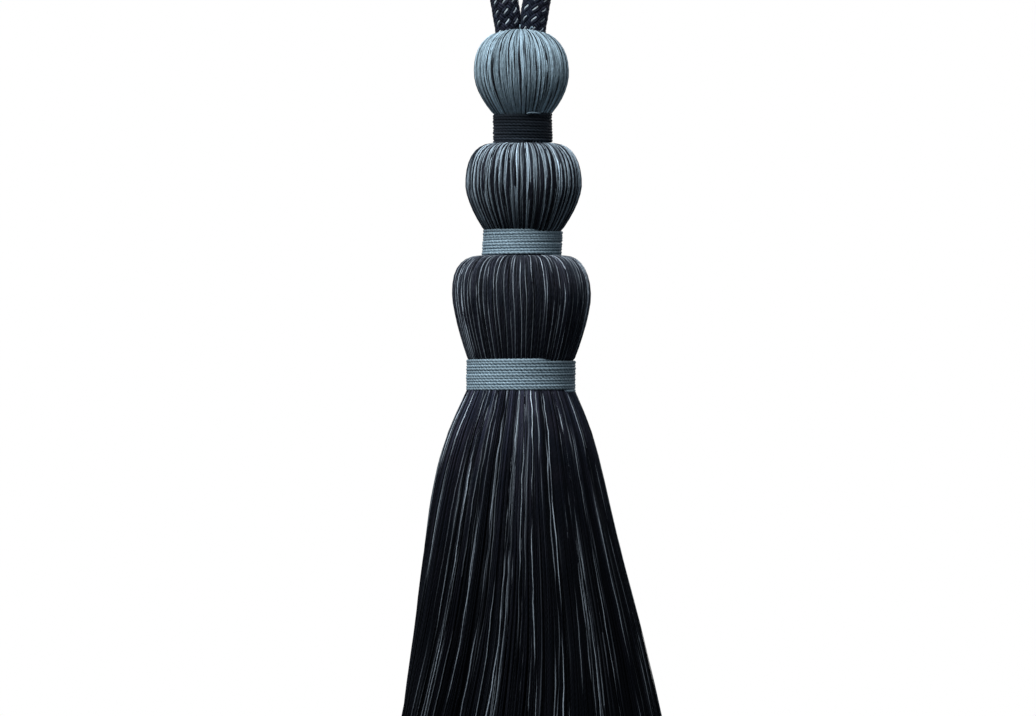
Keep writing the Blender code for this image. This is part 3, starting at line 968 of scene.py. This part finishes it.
def lay_thread_ends(material):
    """The short cut ends that stick out beside the cord and over the upper binding."""
    half_width, half_height = 0.19 * MM, 0.17 * MM
    strands = Strands()
    for points in THREAD_ENDS_MM:
        x, y, depth = np.array(points).T * MM
        path = np.stack([x + sway(depth), y, HEAD_TOP_Z - depth], axis=-1)
        strands.lay(path, (0.0, -1.0, 0.0), half_width, half_height, 6, (0.85, 1.1, 0.3))
    return strands.join("thread_ends", material)


def make_bindings(settings, colours):
    thread = thread_material("binding_thread", colours, toned(colours.slate, 1.06),
                             settings.ply_pitch, bump=0.35)
    plans = (
        dict(node="upper_binding", turns=settings.upper_turns, way=1, start=-68.0,
             blueness=0.042, fill=0.53, mottle=0.85, slot="navy_yarn"),
        dict(node="middle_binding", turns=settings.middle_turns, way=-1, start=-57.0,
             blueness=1.0, fill=0.56, mottle=0.2, slot="blue_yarn"),
        dict(node="lower_binding", turns=settings.lower_turns, way=-1, start=-51.0,
             blueness=1.0, fill=0.56, mottle=0.2, slot="blue_yarn"),
    )
    for plan in plans:
        finish_piece(wind(plan, settings, thread), plan["slot"], plan["node"])
    finish_piece(lay_thread_ends(thread), "blue_yarn")


# ------------------------------------------------------------------------------- skirt

def skirt_radius(drop, top_radius):
    """Outer radius of the skirt at distances below its binding."""
    swell = 1 - np.exp(-((np.maximum(drop, 0.0) / SHOULDER_LENGTH) ** SHOULDER_POWER))
    return top_radius + SKIRT_FLARE * np.maximum(drop, 0.0) + SHOULDER_SWELL * swell


def skirt_tints(rng, blue, dye, shown, drop, angle):
    """How blue and how bright the skirt's threads are along their length, with a painted
    highlight near the binding, painted shade lower down and painted shade towards +X.
    """
    count, rows = drop.shape
    light = rng.uniform(*SPREAD, (count, 1))
    light = np.where(blue, light, 0.9 * light ** 2) * (1 + 0.3 * ripple(rng, count, rows, 3.0))
    # Painted shade that darkens the threads towards +X
    light = light * (1 - PAINTED_SIDE_SHADE * np.cos(angle))
    dye = dye * shown
    # Painted highlight near the binding and painted shade lower down, where the threads loosen
    painted_navy, painted_blue = (np.interp(drop / MM, PAINTED_LIGHT_DROPS_MM, fade)
                            for fade in (PAINTED_NAVY_LIGHT, PAINTED_BLUE_LIGHT))
    light = light * (painted_navy + (painted_blue - painted_navy) * np.clip(dye / BLUE_FROM, 0.0, 1.0))
    return tints(dye, light, rng.random((count, 1)))


def hang_threads(strands, settings, threads, rows, homes, width, rng):
    """Hangs threads, given as columns: the angle at which each is tied, its distance from the
    axis there and at its end, and its row from colour_groups. homes are the angles of the tufts
    that the threads draw together into."""
    angles, tied, cut, dye, shows_from, shows_to = threads.T[:, :, None]
    count = len(threads)
    blue = dye > BLUE_FROM
    top_radius, _, top = cad_span(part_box("lower_binding"))
    full = skirt_radius(settings.hang, top_radius)
    lengths = settings.hang - settings.unevenness * rng.random((count, 1)) ** 2
    along = np.linspace(0.0, 1.0, rows)
    drop = -TIED_LENGTH + (lengths + TIED_LENGTH) * along ** ROW_BUNCHING
    spread = (skirt_radius(drop, top_radius) - top_radius) / (full - top_radius)
    held = np.clip(1 - (drop + TIED_LENGTH) / (TIED_LENGTH + TIED_RELEASE), 0, 1)
    radius = tied + (cut - tied) * spread - TIED_INSET * held

    away = np.angle(np.exp(1j * (homes - angles)))
    pull = np.take_along_axis(away, np.argmin(np.abs(away), axis=1)[:, None], axis=1)
    loose = along ** LOOSENING
    reach = cut / full
    stray = np.where(blue, BLUE_STRAY, NAVY_STRAY) * loose / np.maximum(reach, 0.3)
    wander = ripple(rng, count, rows, 0.9) * stray
    wander += ripple(rng, count, rows, 6.0) * BLUE_KINKS / radius * blue
    drift = (0.011 * np.sin(7 * angles + 5.0 * along)
             + 0.006 * np.sin(23 * angles - 13.0 * along)) * loose
    lean = np.radians(LEAN_SWING * np.cos(angles - LEAN_BACK_AT) - LEAN)
    lean = lean * (np.maximum(drop, 0.0) / LEAN_DROP) ** LEAN_POWER
    angle = angles + pull * TUFT_PULL * loose + wander + drift + lean
    edge = np.abs(pull) / (math.pi / len(homes))
    radius = radius - TUFT_GROOVE * edge ** 2 * loose * reach
    shown = showing(rng, count, rows, 0.3, 2.0)
    rise_mm = ripple(rng, count, rows, 1.3) * 0.13 + (shown - 1) * 0.1 + 0.2 * blue
    radius = radius + rise_mm * MM * (0.3 + loose)

    shown = shown * np.clip((drop / MM - shows_from) / SHOWS_IN_MM + 1, 0, 1)
    shown = shown * np.clip((shows_to - drop / MM) / SHOWS_OUT_MM + 1, 0, 1)
    tint = skirt_tints(rng, blue, dye, shown, drop, angle)
    half = width / 2 * rng.uniform(0.85, 1.15, (count, 1))
    slub = (BLUE_WIDTH + OPEN_WIDTH * shown) * (1 + SLUBS * ripple(rng, count, rows, 5.0))
    slub = slub * np.interp(drop / MM, WIDER_DROP_MM, WIDER)
    pressed = np.clip(0.78 + 0.3 * spread, 0.0, 1.0)
    half = half * np.where(blue, slub, 1.0) * pressed
    strands.lay(hung(radius, angle, top + drop), round_axis(1.0, angle, SKIRT_FLARE),
                half, half, 4, tint)


def lay_skirt(name, settings, threads, rows, width, material, rng):
    """Hangs a layer of threads. rows says how many points a navy thread has, and how many a
    blue one, which bends more."""
    homes = TURN * (np.arange(TUFTS) + rng.uniform(-0.3, 0.3, TUFTS)) / TUFTS
    blue = threads[:, 3] > BLUE_FROM
    strands = Strands()
    for chosen, chosen_rows in zip((~blue, blue), rows):
        hang_threads(strands, settings, threads[chosen], chosen_rows, homes, width, rng)
    finish_piece(strands.join(name, material), "navy_yarn", "skirt")


def make_skirt(settings, colours):
    rng = np.random.default_rng(31)
    edge = cad_span(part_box("lower_binding"))[0]
    full = float(skirt_radius(settings.hang, edge))
    yarn = thread_material("skirt_yarn", colours, colours.ash, 1.7 * MM, sheen=0.02)
    layers = (
        dict(name="skirt_surface", count=settings.surface_threads, rows=(14, 36), width=1.0,
             insets=((0.0, 0.0), (0.3, 0.35), (0.65, 0.75))),
        dict(name="skirt_under", count=settings.under_threads, rows=(10, 20), width=1.3,
             insets=((1.2, 1.5), (2.0, 2.8), (3.2, 4.6))),
    )
    for layer in layers:
        count = layer["count"]
        threads = []
        for inset_top, inset_end in layer["insets"]:
            place = np.arange(count) + rng.random() + rng.uniform(-0.3, 0.3, count)
            cut = full - (inset_end + np.abs(rng.normal(0, 0.25, count))) * MM
            tied = np.full(count, edge - inset_top * MM)
            if inset_top == 0.0:
                dyes = colour_groups(rng, count, settings.blue_groups, FRONT_GROUPS)
            else:
                dyes = colour_groups(rng, count, settings.blue_groups // 2)
            threads.append(np.column_stack([TURN * place / count, tied, cut, dyes]))
        lay_skirt(layer["name"], settings, np.concatenate(threads), layer["rows"],
                  settings.thread_width * layer["width"], yarn, rng)

    count = settings.core_threads
    tied_edge, cut_edge = edge - 3.8 * MM, full - 6.0 * MM
    blue_share, blue_dye = 0.08, 0.7
    golden = math.pi * (3 - math.sqrt(5))
    place = np.sqrt((np.arange(count) + 0.5) / count)
    dyes = np.tile((0.0, *OPEN), (count, 1))
    dyes[rng.random(count) < blue_share, 0] = blue_dye
    threads = np.column_stack([golden * np.arange(count), place * tied_edge, place * cut_edge,
                               dyes])
    lay_skirt("skirt_core", settings, threads, (7, 7), settings.thread_width * 2.4, yarn, rng)


# ------------------------------------------------------------------------------- stage

def aim(thing, target):
    thing.rotation_euler = (Vector(target) - thing.location).to_track_quat("-Z", "Y").to_euler()


def add_light(name, place, target, size, power):
    data = bpy.data.lights.new(name, "AREA")
    data.shape = "DISK"
    data.size = size
    data.energy = power
    light = add_object(name, data)
    light.location = place
    aim(light, target)


def make_stage(settings):
    scene = bpy.context.scene
    centre = Vector((-0.65 * MM, 0.0, HEAD_TOP_Z - 85.3 * MM))
    data = bpy.data.cameras.new("camera")
    data.lens = settings.lens
    data.sensor_width = 36.0
    data.clip_end = 50.0
    camera = add_object("camera", data)
    away = settings.frame_width * settings.lens / data.sensor_width
    camera.location = centre + Vector((0.0, -away, 0.0))
    aim(camera, centre)
    scene.camera = camera

    bm = bmesh.new()
    bmesh.ops.create_circle(bm, cap_ends=True, segments=96, radius=2.5)
    low = cad_bounds[0].z - settings.floor_drop
    bmesh.ops.translate(bm, verts=bm.verts, vec=(0.0, 0.0, low))
    floor = add_solid("floor", bm, floor_material())
    floor.visible_diffuse = False

    middle = Vector((0.0, 0.0, HEAD_TOP_Z - 60.0 * MM))
    add_light("key", middle + Vector((-0.32, -0.60, 1.16)), middle, 0.9, settings.key_power)
    add_light("back", middle + Vector((0.4, 1.3, 0.5)), middle, 0.8, settings.key_power * 0.6)

    world = bpy.data.worlds.new("studio")
    tree = NodeTree(world)
    direction = tree.node("ShaderNodeTexCoord", output=0)
    height = tree.split("ShaderNodeSeparateXYZ", direction)[2]
    seen = tree.node("ShaderNodeBackground", {}, {"Color": (1.0, 1.0, 1.0, 1.0), "Strength": 1.0})
    lit = tree.node("ShaderNodeBackground", {}, {
        "Color": (0.85, 0.92, 1.0, 1.0), "Strength": (height * 0.5 + 0.5) * settings.ambient})
    by_camera = tree.node("ShaderNodeLightPath")
    both = tree.node("ShaderNodeMixShader", {}, {0: by_camera, 1: lit, 2: seen})
    tree.fill(tree.tree.nodes["World Output"], {"Surface": both})
    scene.world = world
    scene.view_settings.view_transform = "Standard"


# --------------------------------------------------------------------------- operators

class TASSEL_OT_cord(bpy.types.Operator):
    """Braid the cord and hang it in its loop"""
    bl_idname = "tassel.cord"
    bl_label = "Braid the cord"

    def execute(self, context):
        make_cord(context.scene.tassel_cord, context.scene.tassel_colours)
        return {"FINISHED"}


class TASSEL_OT_knobs(bpy.types.Operator):
    """Lay the yarn over the three knobs"""
    bl_idname = "tassel.knobs"
    bl_label = "Cover the knobs"

    def execute(self, context):
        make_knobs(context.scene.tassel_knobs, context.scene.tassel_colours)
        return {"FINISHED"}


class TASSEL_OT_bindings(bpy.types.Operator):
    """Wind the three bindings"""
    bl_idname = "tassel.bindings"
    bl_label = "Wind the bindings"

    def execute(self, context):
        make_bindings(context.scene.tassel_bindings, context.scene.tassel_colours)
        return {"FINISHED"}


class TASSEL_OT_skirt(bpy.types.Operator):
    """Hang the threads of the skirt"""
    bl_idname = "tassel.skirt"
    bl_label = "Hang the skirt"

    def execute(self, context):
        make_skirt(context.scene.tassel_skirt, context.scene.tassel_colours)
        return {"FINISHED"}


class TASSEL_OT_stage(bpy.types.Operator):
    """Set up the camera, the floor and the lights"""
    bl_idname = "tassel.stage"
    bl_label = "Set the stage"

    def execute(self, context):
        make_stage(context.scene.tassel_stage)
        return {"FINISHED"}


class TASSEL_PT_panel(bpy.types.Panel):
    """The tassel's settings and the steps that make it"""
    bl_idname = "TASSEL_PT_panel"
    bl_label = "Tassel"
    bl_space_type = "VIEW_3D"
    bl_region_type = "UI"
    bl_category = "Tassel"

    def draw(self, context):
        for name, step in GROUPS:
            box = self.layout.box()
            settings = getattr(context.scene, name)
            for key in settings.__annotations__:
                box.prop(settings, key)
            if step:
                box.operator(step.bl_idname)


PROPERTY_GROUPS = {
    "tassel_colours": TasselColours,
    "tassel_cord": TasselCord,
    "tassel_knobs": TasselKnobs,
    "tassel_bindings": TasselBindings,
    "tassel_skirt": TasselSkirt,
    "tassel_stage": TasselStage,
}
OPERATORS = (TASSEL_OT_cord, TASSEL_OT_knobs, TASSEL_OT_bindings, TASSEL_OT_skirt,
             TASSEL_OT_stage)
GROUPS = tuple(zip(PROPERTY_GROUPS, (None, *OPERATORS)))


def register():
    for name, group in PROPERTY_GROUPS.items():
        bpy.utils.register_class(group)
        setattr(bpy.types.Scene, name, bpy.props.PointerProperty(type=group))
    for step in OPERATORS:
        bpy.utils.register_class(step)
    bpy.utils.register_class(TASSEL_PT_panel)


def unregister():
    bpy.utils.unregister_class(TASSEL_PT_panel)
    for step in reversed(OPERATORS):
        bpy.utils.unregister_class(step)
    for name, group in reversed(PROPERTY_GROUPS.items()):
        delattr(bpy.types.Scene, name)
        bpy.utils.unregister_class(group)


def main():
    register()
    bpy.ops.tassel.stage()
    bpy.ops.tassel.cord()
    bpy.ops.tassel.knobs()
    bpy.ops.tassel.bindings()
    bpy.ops.tassel.skirt()


if __name__ == "__main__":
    main()
